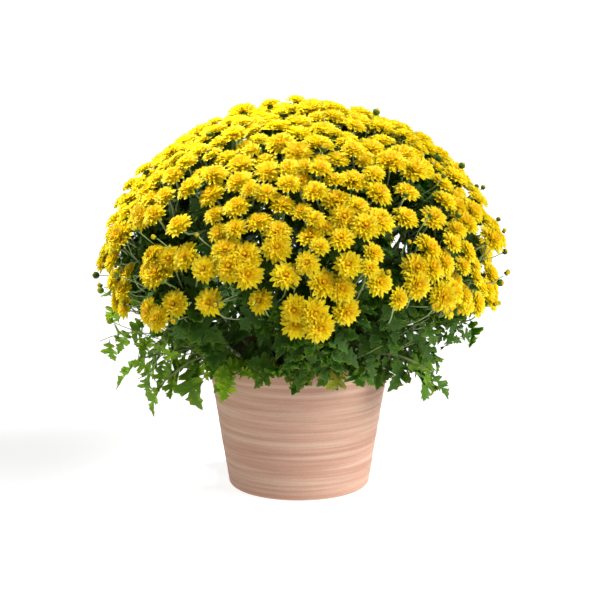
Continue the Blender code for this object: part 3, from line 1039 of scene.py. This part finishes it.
def addTube(name, routes):
    # one curve with a spline for each route, made a closed mesh
    curve = bpy.data.curves.new(name, "CURVE")
    curve.dimensions = "3D"
    curve.bevel_depth = 1.0
    curve.bevel_resolution = 1
    curve.use_fill_caps = True
    for points, startRadius, endRadius in routes:
        spline = curve.splines.new("POLY")
        spline.points.add(len(points) - 1)
        for number, (point, place) in enumerate(zip(spline.points, points)):
            point.co = (*place, 1)
            point.radius = startRadius + (endRadius - startRadius) * number / (len(points) - 1)
    tube = bpy.data.objects.new(name, curve)
    bpy.context.collection.objects.link(tube)
    selectOnly(tube)
    bpy.ops.object.convert(target="MESH")
    tube = bpy.context.object
    bpy.ops.object.mode_set(mode="EDIT")
    bpy.ops.mesh.select_all(action="SELECT")
    bpy.ops.mesh.remove_doubles(threshold=0.00005)
    bpy.ops.object.mode_set(mode="OBJECT")
    return finishModel(tube, "stem")


def smoothRoute(start, startWay, end, endWay, steps):
    reach = (end - start).length
    startBend, endBend = stemForm["bends"]
    first, second = start + startWay * reach * startBend, end - endWay * reach * endBend
    route = []
    for number in range(steps + 1):
        t = number / steps
        s = 1 - t
        route.append(start * s**3 + first * 3 * s * s * t + second * 3 * s * t * t + end * t**3)
    return route


def leafMatrix(foot, along, face, length):
    along = along.normalized()
    return turnTo(foot, along.cross(face.cross(along)), along, length)


def keptUnder(foot, along, length, highest):
    # tilts a leaf inward until its tip is under the blooms
    along = along.normalized()
    for _ in range(foliage["tiltTries"]):
        over = domeShare(foot + along * length) - highest
        if over <= 0 or foot.z < foliage["freeBelow"]:
            break
        along = (along - domeNormal(foot) * over * foliage["tiltShare"]).normalized()
    return along


def alongRoute(route, share):
    # the place at a share of the route, and the way it runs there
    spot = share * (len(route) - 1)
    low = min(int(spot), len(route) - 2)
    return route[low].lerp(route[low + 1], spot - low), (route[low + 1] - route[low]).normalized()


def leavesAlong(draw, route, spots, tones, loose=False):
    # leaves in a spiral round a stem, kept under the blooms or hanging loose and turned to the light
    parts = []
    angle = draw.uniform(0, math.tau)
    for share, length in spots:
        foot, way = alongRoute(route, share)
        angle += leafPose["turn"] + draw.uniform(-1, 1) * leafPose["turnStray"]
        out = Matrix.Rotation(angle, 3, way) @ way.orthogonal().normalized()
        length *= draw.uniform(*leafPose["lengthStray"])
        along = out + way * draw.uniform(*leafPose["forward"])
        face = way + up * leafPose["faceUp"]
        face += Vector([draw.uniform(-1, 1) * leafPose["faceStray"] for _ in range(3)])
        if loose:
            along -= up * leafPose["looseFall"]
            face += Vector((0, math.copysign(leafPose["looseFace"], foot.y), 0))
        else:
            along = keptUnder(foot, along, length, foliage["highest"])
        model = leafModels[draw.randrange(len(leafModels))]
        tone = draw.uniform(*tones)
        parts.append(copyOf(model, leafMatrix(foot, along, face, length), tone=tone))
    return parts


def lowLeavesOf(trunk, draw):
    # leaves on the outer, lower side of a stem that leans out
    parts = []
    outward = Vector((trunk[-1].x, trunk[-1].y, 0)).normalized()
    aside = outward.cross(up)
    low = lowFoliage
    count = round(low["leaves"] * (1 + low["moreRight"] * outward.x))
    for number in range(count):
        foot = trunk[0].lerp(trunk[-1], low["from"] + low["span"] * number / count)
        side = (-1) ** number * draw.uniform(*low["side"])
        along = outward * draw.uniform(*low["out"]) + aside * side - up * draw.uniform(*low["fall"])
        face = outward * low["faceOut"] + up + aside * draw.uniform(-1, 1) * low["faceStray"]
        length = draw.uniform(*low["lengths"])
        model = leafModels[draw.randrange(len(leafModels))]
        parts.append(copyOf(model, leafMatrix(foot, along, face, length), tone=draw.uniform(*low["tones"])))
    return parts


def headAt(model, head, draw, size=1.0):
    # a flower copied to its place, turned at random about its own axis
    facing = head["facing"]
    along = Matrix.Rotation(draw.uniform(0, math.tau), 3, facing) @ facing.orthogonal()
    return copyOf(model, turnTo(head["place"], facing, along, head["radius"] * size))


def flowersOf(spray, draw):
    parts = []
    for bloom in spray["blooms"] + spray["small"]:
        models = bloomModels if "across" in bloom else smallBloomModels
        parts.append(headAt(models[draw.randrange(len(models))], bloom, draw))
    for bud in spray["buds"]:
        if bud["open"]:
            parts.append(headAt(openBudModel, bud, draw, stemForm["openBudSize"]))
    return gather(f"flowers_{spray['index'] + 1:02d}", parts)


def seatOf(head, share):
    return head["place"] - head["facing"] * head["radius"] * share


def foliageOf(spray, draw):
    parts = []
    stem, middle = spray["stem"], spray["middle"]
    buried = stemForm["soilTop"] - stemForm["stemDepth"] - dome["crown"].z
    foot = dome["crown"] + stem * (buried / stem.z)
    top = middle - stem * stemForm["branchDepths"][0] * stemForm["topDepth"]
    routes = [([foot.lerp(top, number / 6) for number in range(7)], *stemForm["mainRadii"])]
    ends = []
    for bloom in spray["blooms"] + spray["small"]:
        leaves = foliage["sideLeaves"] if "across" in bloom else foliage["sideLeaves"][1:3]
        ends.append((seatOf(bloom, stemForm["bloomSeat"]), bloom["facing"], stemForm["sideRadius"], leaves))
        cup = turnTo(bloom["place"], bloom["facing"], bloom["facing"].orthogonal(), bloom["radius"])
        parts.append(copyOf(cupModel, cup, tone=draw.uniform(*stemForm["cupTones"])))
    for bud in spray["buds"]:
        leaves = foliage["sideLeaves"][1:3]
        ends.append((seatOf(bud, stemForm["budSeat"]), bud["facing"], stemForm["budRadius"], leaves))
        matrix = turnTo(bud["place"], bud["facing"], bud["facing"].orthogonal(), bud["radius"])
        if bud["open"]:
            matrix = matrix @ Matrix.Translation((0, 0, stemForm["openCupRise"]))
            matrix = matrix @ Matrix.Scale(stemForm["openCupSize"], 4)
        model = cupModel if bud["open"] else budModel
        parts.append(copyOf(model, matrix, tone=draw.uniform(*stemForm["budTones"])))
    for seat, facing, radius, leaves in ends:
        start = middle - stem * draw.uniform(*stemForm["branchDepths"])
        route = smoothRoute(start, stem, seat, facing, stemForm["steps"])
        routes.append((route, radius * stemForm["flare"], radius))
        parts += leavesAlong(draw, route, leaves, foliage["tones"])
    for bloom in spray["blooms"] + spray["small"]:
        # bare stalks stand up in front of the leaves under the lowest heads
        if bloom["place"].z < stalks["below"] and draw.random() < stalks["share"]:
            start = foot.lerp(top, draw.uniform(*stalks["from"]))
            lean = spray["across"] * draw.uniform(-stalks["lean"], stalks["lean"])
            rising = (up + bloom["facing"] * stalks["lean"] + lean).normalized()
            route = smoothRoute(start, stem, seatOf(bloom, stemForm["bloomSeat"]), rising, stalks["steps"])
            routes.append((route, stalks["radius"], stalks["radius"]))
    spots = []
    for number in range(foliage["stemLeaves"]):
        share = foliage["stemLeafFrom"] + foliage["stemLeafSpan"] * number / foliage["stemLeaves"]
        spots.append((share, draw.uniform(*foliage["stemLeafLengths"])))
    trunk = [foot.lerp(top, number / 8) for number in range(9)]
    parts += leavesAlong(draw, trunk, spots, foliage["stemLeafTones"])
    if spray["index"] >= lowFoliage["firstSpray"]:
        parts += lowLeavesOf(trunk, draw)
    parts.append(addTube("stems", routes))
    return gather(f"foliage_{spray['index'] + 1:02d}", parts)


for spray in sprays:
    draw = random.Random(foliage["seed"] + spray["index"])
    label = f"{spray['index'] + 1:02d}"
    flowers = flowersOf(spray, draw)
    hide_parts("blooms_" + label)
    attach(flowers, "root")
    greens = foliageOf(spray, draw)
    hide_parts("spray_" + label)
    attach(greens, "root")
print("sprays made")


# Leafy shoots that lean over the rim

shoots = {
    "seed": 500,
    # turn in degrees, reach and height of each end, as in the solids
    "list": (
        (18, 0.165, 0.162),
        (60, 0.185, 0.172),
        (113, 0.180, 0.165),
        (155, 0.185, 0.165),
        (189, 0.190, 0.160),
        (207, 0.180, 0.142),
        (242, 0.160, 0.166),
        (260, 0.138, 0.172),
        (293, 0.142, 0.168),
        (335, 0.170, 0.154),
    ),
    "foot": 0.088,
    "crest": (0.109, 0.170),
    "radii": (0.0022, 0.0010),
    "leaves": 15,
    "from": 0.42,
    "span": 0.56,
    "lengths": (0.036, 0.060),
    "side": (0.5, 1.1),
    "fall": (0.1, 0.9),
    "forward": (0.3, 0.9),
    "faceUp": 0.7,
    "faceOut": (0.5, 1.2),
    "faceStray": 0.3,
    "tones": (0.1, 0.65),
    # shoots turned to the left, between these turns, get fewer leaves and tones from the light end of the
    # ramp: painted light, the back light shining through the leaves
    "paintedLightTurns": (160, 250),
    "paintedLightShootLeaves": 11,
    "paintedLightTones": (0.55, 1.0),
    "frontTurns": (225, 320),
    "frontShare": 0.74,
    "frontRaised": 0.5,
    "fadedShare": 0.10,
    "faded": 0.45,
}

looseStems = {
    # shoot, turn in degrees, reach and height of the ends of thin side stems
    "list": (
        (4, 177, 0.238, 0.234),
        (4, 184, 0.238, 0.178),
        (5, 197, 0.198, 0.142),
        (5, 190, 0.226, 0.208),
        (3, 166, 0.220, 0.205),
        (0, 6, 0.216, 0.206),
        (9, 349, 0.200, 0.184),
        (9, 343, 0.212, 0.248),
        (8, 318, 0.205, 0.235),
        (1, 72, 0.206, 0.190),
        (2, 116, 0.208, 0.215),
    ),
    "radii": (0.0008, 0.00048),
    "steps": 9,
    "arch": 0.3,
    "risesFrom": 0.2,
    "rise": 0.5,
    "leaves": 6,
    "from": 0.30,
    "span": 0.60,
    "lengths": (0.027, 0.038),
    "tones": (0.05, 0.5),
    # stems turned to the left take these light tones: painted light, the back light shining through the
    # leaves
    "paintedLightTones": (0.60, 1.0),
    "budRadius": 0.0042,
    "budTone": 0.6,
}


def turnedTo(degrees, side):
    least, most = shoots[side]
    return least < degrees < most


def shootRoute(turn, reach, height):
    # up out of the soil, over the rim and down
    crestReach, crestHeight = shoots["crest"]
    sketch = (
        (shoots["foot"], stemForm["soilTop"] - stemForm["stemDepth"]),
        (shoots["foot"] + 0.001, stemForm["soilTop"] + 0.012),
        (crestReach, crestHeight),
        (crestReach + (reach - crestReach) * 0.5, crestHeight + (height - crestHeight) * 0.2),
        (reach, height),
    )
    return [outwardAt(turn) * r + up * z for r, z in sketch]


def finer(points, cuts):
    # a smooth curve through the points
    route = []
    for number in range(len(points) - 1):
        before, start = points[max(number - 1, 0)], points[number]
        end, after = points[number + 1], points[min(number + 2, len(points) - 1)]
        straight = end - before
        square = 2 * before - 5 * start + 4 * end - after
        cube = 3 * start - before - 3 * end + after
        for cut in range(cuts):
            t = cut / cuts
            route.append(0.5 * (2 * start + straight * t + square * t**2 + cube * t**3))
    return route + [points[-1]]


def looseStem(draw, start, degrees, reach, height, routes):
    # a thin stem that arches out of the shoot; the ones that rise end in a bud
    form, turn = looseStems, math.radians(degrees)
    outward = outwardAt(turn)
    rises = height > form["risesFrom"]
    way = outward + up * (form["rise"] if rises else -form["rise"])
    end = outward * reach + up * height
    route = smoothRoute(start, outward + up * form["arch"], end, way.normalized(), form["steps"])
    routes.append((route, *form["radii"]))
    spots = []
    for place in range(form["leaves"]):
        share = form["from"] + form["span"] * place / (form["leaves"] - 1)
        spots.append((share, draw.uniform(*form["lengths"])))
    # stems turned to the left take light leaf tones: painted light from the back light
    tones = form["paintedLightTones" if turnedTo(degrees, "paintedLightTurns") else "tones"]
    parts = leavesAlong(draw, route, spots, tones, True)
    if rises:
        bud = turnTo(end, way, up.cross(outward), form["budRadius"])
        parts.append(copyOf(budModel, bud, tone=form["budTone"]))
    return parts


def shootOf(number):
    draw = random.Random(shoots["seed"] + number)
    degrees, reach, height = shoots["list"][number]
    turn = math.radians(degrees)
    outward, aside = outwardAt(turn), sidewaysAt(turn)
    route = finer(shootRoute(turn, reach, height), 4)
    parts = []
    # shoots turned to the left get fewer leaves, and light leaf tones that are painted light from the back
    # light
    bright, front = turnedTo(degrees, "paintedLightTurns"), turnedTo(degrees, "frontTurns")
    count = shoots["paintedLightShootLeaves"] if bright else shoots["leaves"]
    for place in range(count):
        foot, way = alongRoute(route, shoots["from"] + shoots["span"] * place / (count - 1))
        side = 0 if place == count - 1 else (-1) ** place * draw.uniform(*shoots["side"])
        fall = draw.uniform(*shoots["fall"])
        face = up * shoots["faceUp"] + outward * draw.uniform(*shoots["faceOut"])
        face += aside * draw.uniform(-1, 1) * shoots["faceStray"]
        length = draw.uniform(*shoots["lengths"])
        if front:
            fall -= shoots["frontRaised"]
            length *= shoots["frontShare"]
        along = way * draw.uniform(*shoots["forward"]) + aside * side - up * fall
        tone = draw.uniform(*shoots["paintedLightTones" if bright else "tones"])
        model = leafModels[draw.randrange(len(leafModels))]
        faded = shoots["faded"] if front and draw.random() < shoots["fadedShare"] else 0
        parts.append(copyOf(model, leafMatrix(foot, along, face, length), tone=tone, heart=faded))
    routes = [(route, *shoots["radii"])]
    for owner, looseTurn, looseReach, looseHeight in looseStems["list"]:
        if owner == number:
            parts += looseStem(draw, route[len(route) // 2], looseTurn, looseReach, looseHeight, routes)
    parts.append(addTube("stems", routes))
    return gather(f"hanging_shoot_{number + 1:02d}", parts)


for number in range(len(shoots["list"])):
    shoot = shootOf(number)
    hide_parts(f"leafy_shoot_{number + 1:02d}")
    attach(shoot, "root")
print("leafy shoots made")


# The pot, turned up from its foot

potForm = {
    "height": 0.162,
    "rimRadius": 0.110,
    "baseRadius": 0.084,
    "wall": 0.009,
    "floor": 0.012,
    "lipRound": 0.003,
    "footRound": 0.006,
    "footFlare": 0.001,
    "sides": 128,
    "wallSteps": 54,
    "roundSteps": 4,
    "innerSteps": 8,
    # turning lines: how deep, how many up the wall, and how far they wander round it
    "lineDepth": 0.00035,
    "lines": 160,
    "lineWander": 0.4,
    "bands": 45,
    "bandWander": 0.7,
    "bandShare": 0.8,
    "linesSunk": 0.6,
    "linesFrom": 0.004,
    "linesTo": 0.158,
    "lineMargin": 0.002,
    "sharpAngle": math.radians(35),
    "drains": 3,
    "drainCircle": 0.030,
    "drainRadius": 0.006,
}


def potSlope():
    return (potForm["rimRadius"] - potForm["baseRadius"]) / potForm["height"]


def quarterTurn():
    return [math.pi / 2 * step / potForm["roundSteps"] for step in range(potForm["roundSteps"] + 1)]


def potProfile():
    # round the foot, up the wall, over the lip and down inside to the floor
    form, slope = potForm, potSlope()
    foot, lip, base = form["footRound"], form["lipRound"], form["baseRadius"]
    lipFoot = form["height"] - lip
    profile = []
    for angle in quarterTurn()[1:]:
        side = base + slope * foot
        profile.append((side - foot + foot * math.sin(angle), foot - foot * math.cos(angle)))
    for step in range(1, form["wallSteps"] + 1):
        z = foot + (lipFoot - foot) * step / form["wallSteps"]
        profile.append((base + slope * z, z))
    outer = profile[-1][0]
    for angle in quarterTurn()[1:]:
        profile.append((outer - lip + lip * math.cos(angle), lipFoot + lip * math.sin(angle)))
    inner = form["rimRadius"] - form["wall"]
    for angle in quarterTurn():
        profile.append((inner + lip - lip * math.sin(angle), lipFoot + lip * math.cos(angle)))
    for step in range(1, form["innerSteps"] + 1):
        z = lipFoot - (lipFoot - form["floor"]) * step / form["innerSteps"]
        profile.append((base + slope * z - form["wall"], z))
    return profile


def makePot():
    start = potForm["baseRadius"] + potForm["footFlare"] - potForm["footRound"]
    bpy.ops.mesh.primitive_circle_add(vertices=potForm["sides"], radius=start, fill_type="NGON")
    pot = bpy.context.object
    pot.name = "terracotta_pot"
    bpy.ops.object.mode_set(mode="EDIT")
    bpy.ops.mesh.select_all(action="SELECT")
    bpy.ops.mesh.flip_normals()
    radius, height = start, 0.0
    for nextRadius, nextHeight in potProfile():
        bpy.ops.mesh.extrude_region_move(TRANSFORM_OT_translate={"value": (0, 0, nextHeight - height)})
        share = nextRadius / radius
        bpy.ops.transform.resize(value=(share, share, 1), center_override=(0, 0, nextHeight))
        radius, height = nextRadius, nextHeight
    bpy.ops.object.mode_set(mode="OBJECT")
    return pot


def turnLines(pot):
    # fine uneven lines round the outside of the wall
    form = potForm
    for vertex in pot.data.vertices:
        x, y, z = vertex.co
        reach = math.hypot(x, y)
        outside = reach > form["baseRadius"] - form["lineMargin"] + z * potSlope()
        if outside and form["linesFrom"] < z < form["linesTo"]:
            ring = outwardAt(math.atan2(y, x))
            line = noise.noise(ring * form["lineWander"] + up * z * form["lines"])
            band = noise.noise(ring * form["bandWander"] + up * (z * form["bands"] + 7))
            depth = (line + form["bandShare"] * band - form["linesSunk"]) * form["lineDepth"]
            vertex.co.x *= 1 + depth / reach
            vertex.co.y *= 1 + depth / reach


def finishPot(pot):
    selectOnly(pot)
    for hole in range(potForm["drains"]):
        turn = math.tau * hole / potForm["drains"]
        bpy.ops.mesh.primitive_cylinder_add(
            vertices=24,
            radius=potForm["drainRadius"],
            depth=4 * potForm["floor"],
            location=outwardAt(turn) * potForm["drainCircle"],
        )
        cutter = bpy.context.object
        selectOnly(pot)
        drill = pot.modifiers.new("drain", "BOOLEAN")
        drill.object = cutter
        drill.operation = "DIFFERENCE"
        bpy.ops.object.modifier_apply(modifier="drain")
        bpy.data.objects.remove(cutter)
    selectOnly(pot)
    bpy.ops.object.shade_smooth_by_angle(angle=potForm["sharpAngle"])
    pot.data.materials.clear()
    pot.data.materials.append(finishes["clay"])


pot = makePot()
turnLines(pot)
finishPot(pot)
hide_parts("pot")
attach(pot, "root")
print("pot made with", len(pot.data.polygons), "faces")


# The soil, with crumbs on it

soilForm = {
    "top": stemForm["soilTop"],
    "gap": 0.0004,
    "sides": 64,
    "rings": 14,
    "relief": 0.0022,
    "lumps": 90,
    "reliefSunk": 0.3,
    "seed": 77,
    "crumbs": 160,
    "crumbRadii": (0.0012, 0.0034),
    "crumbReach": 0.97,
    "crumbRaised": 0.2,
    "crumbRough": (0.75, 1.15),
    "sharpAngle": math.radians(60),
}


def makeSoil():
    slope = potSlope()
    low = potForm["floor"] + soilForm["gap"]
    inside = potForm["baseRadius"] - potForm["wall"] - soilForm["gap"]
    topRadius = inside + slope * soilForm["top"]
    bpy.ops.mesh.primitive_cone_add(
        vertices=soilForm["sides"],
        radius1=inside + slope * low,
        radius2=topRadius,
        depth=soilForm["top"] - low,
        location=(0, 0, (soilForm["top"] + low) / 2),
    )
    soil = bpy.context.object
    bpy.ops.object.transform_apply(location=True, rotation=True, scale=True)
    bpy.ops.object.mode_set(mode="EDIT")
    bpy.ops.mesh.select_all(action="DESELECT")
    bpy.ops.object.mode_set(mode="OBJECT")
    for face in soil.data.polygons:
        face.select = face.normal.z > 0.9  # the top
    bpy.ops.object.mode_set(mode="EDIT")
    width = topRadius / (soilForm["rings"] + 1)
    for _ in range(soilForm["rings"]):
        bpy.ops.mesh.inset(thickness=width, depth=0)
    bpy.ops.object.mode_set(mode="OBJECT")
    edge = topRadius - width * 0.5
    for vertex in soil.data.vertices:
        if vertex.co.z > soilForm["top"] - 0.001 and math.hypot(vertex.co.x, vertex.co.y) < edge:
            rough = noise.fractal(vertex.co * soilForm["lumps"], 1.0, 2.0, 4)
            vertex.co.z += (rough - soilForm["reliefSunk"]) * soilForm["relief"]
    draw = random.Random(soilForm["seed"])
    parts = [soil]
    for _ in range(soilForm["crumbs"]):
        reach = edge * math.sqrt(draw.random()) * soilForm["crumbReach"]
        angle = draw.uniform(0, math.tau)
        size = draw.uniform(*soilForm["crumbRadii"])
        raised = soilForm["top"] + size * soilForm["crumbRaised"]
        place = (reach * math.cos(angle), reach * math.sin(angle), raised)
        bpy.ops.mesh.primitive_ico_sphere_add(subdivisions=1, radius=size, location=place)
        crumb = bpy.context.object
        for vertex in crumb.data.vertices:
            vertex.co *= draw.uniform(*soilForm["crumbRough"])
        bpy.ops.object.transform_apply(location=True, rotation=True, scale=True)
        parts.append(crumb)
    for part in parts:
        part.data.materials.clear()
        part.data.materials.append(finishes["soil"])
    whole = gather("potting_soil", parts)
    selectOnly(whole)
    bpy.ops.object.shade_smooth_by_angle(angle=soilForm["sharpAngle"])
    return whole


soil = makeSoil()
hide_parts("soil")
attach(soil, "root")
print("soil made")


# Floor, camera and light

studio = {
    "camera": (0.0, -2.49, 0.745),
    "lookDown": math.radians(11.8),
    "lens": 127.9,
    "sensor": 36,
    "shift": 1 / 600,
    "world": 0.08,
    "sunStrength": 4.5,
    "sunAngle": math.radians(50),
    "sunTurn": (math.radians(57), 0, math.radians(70)),
    "topPower": 1.6,
    "topSize": 0.3,
    "topSpread": math.radians(18),
    "topPlace": (-0.95, 0.20, 1.95),
    "topAim": (-0.04, 0.0, 0.34),
    "floorSize": 40,
    "floorRoughness": 0.9,
    "floorGlow": 0.86,
}

bpy.ops.mesh.primitive_plane_add(size=studio["floorSize"], location=(0, 0, 0))
floor = bpy.context.object
floor.name = "floor"
floorFinish, floorTree, floorShader = newMaterial("paleFloor", studio["floorRoughness"])
floorShader.inputs["Base Color"].default_value = (*colours["floor"], 1)
floorShader.inputs["Specular IOR Level"].default_value = 0.0
floorShader.inputs["Emission Color"].default_value = (1, 1, 1, 1)
floorShader.inputs["Emission Strength"].default_value = studio["floorGlow"]
floor.data.materials.append(floorFinish)
floor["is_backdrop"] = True

world = bpy.data.worlds.new("studio")
world.use_nodes = True
world.node_tree.nodes["Background"].inputs["Color"].default_value = (1, 1, 1, 1)
world.node_tree.nodes["Background"].inputs["Strength"].default_value = studio["world"]
bpy.context.scene.world = world

bpy.ops.object.light_add(type="SUN", rotation=studio["sunTurn"])
sun = bpy.context.object
sun.name = "softSun"
sun.data.energy = studio["sunStrength"]
sun.data.angle = studio["sunAngle"]

# a narrow light on the blooms' upper left
bpy.ops.object.light_add(type="AREA", location=studio["topPlace"])
topLight = bpy.context.object
topLight.name = "topLight"
topLight.data.energy = studio["topPower"]
topLight.data.size = studio["topSize"]
topLight.data.spread = studio["topSpread"]
aim = Vector(studio["topAim"]) - topLight.location
topLight.rotation_euler = aim.to_track_quat("-Z", "Y").to_euler()
bpy.context.scene.view_settings.view_transform = "Standard"

bpy.ops.object.camera_add(location=studio["camera"], rotation=(math.pi / 2 - studio["lookDown"], 0, 0))
camera = bpy.context.object
camera.data.lens = studio["lens"]
camera.data.sensor_width = studio["sensor"]
camera.data.shift_x = studio["shift"]
bpy.context.scene.camera = camera
print("studio set")

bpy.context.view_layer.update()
meshes = [piece.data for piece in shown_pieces() if piece.type == "MESH"]
print("triangles:", sum(len(face.vertices) - 2 for mesh in meshes for face in mesh.polygons))
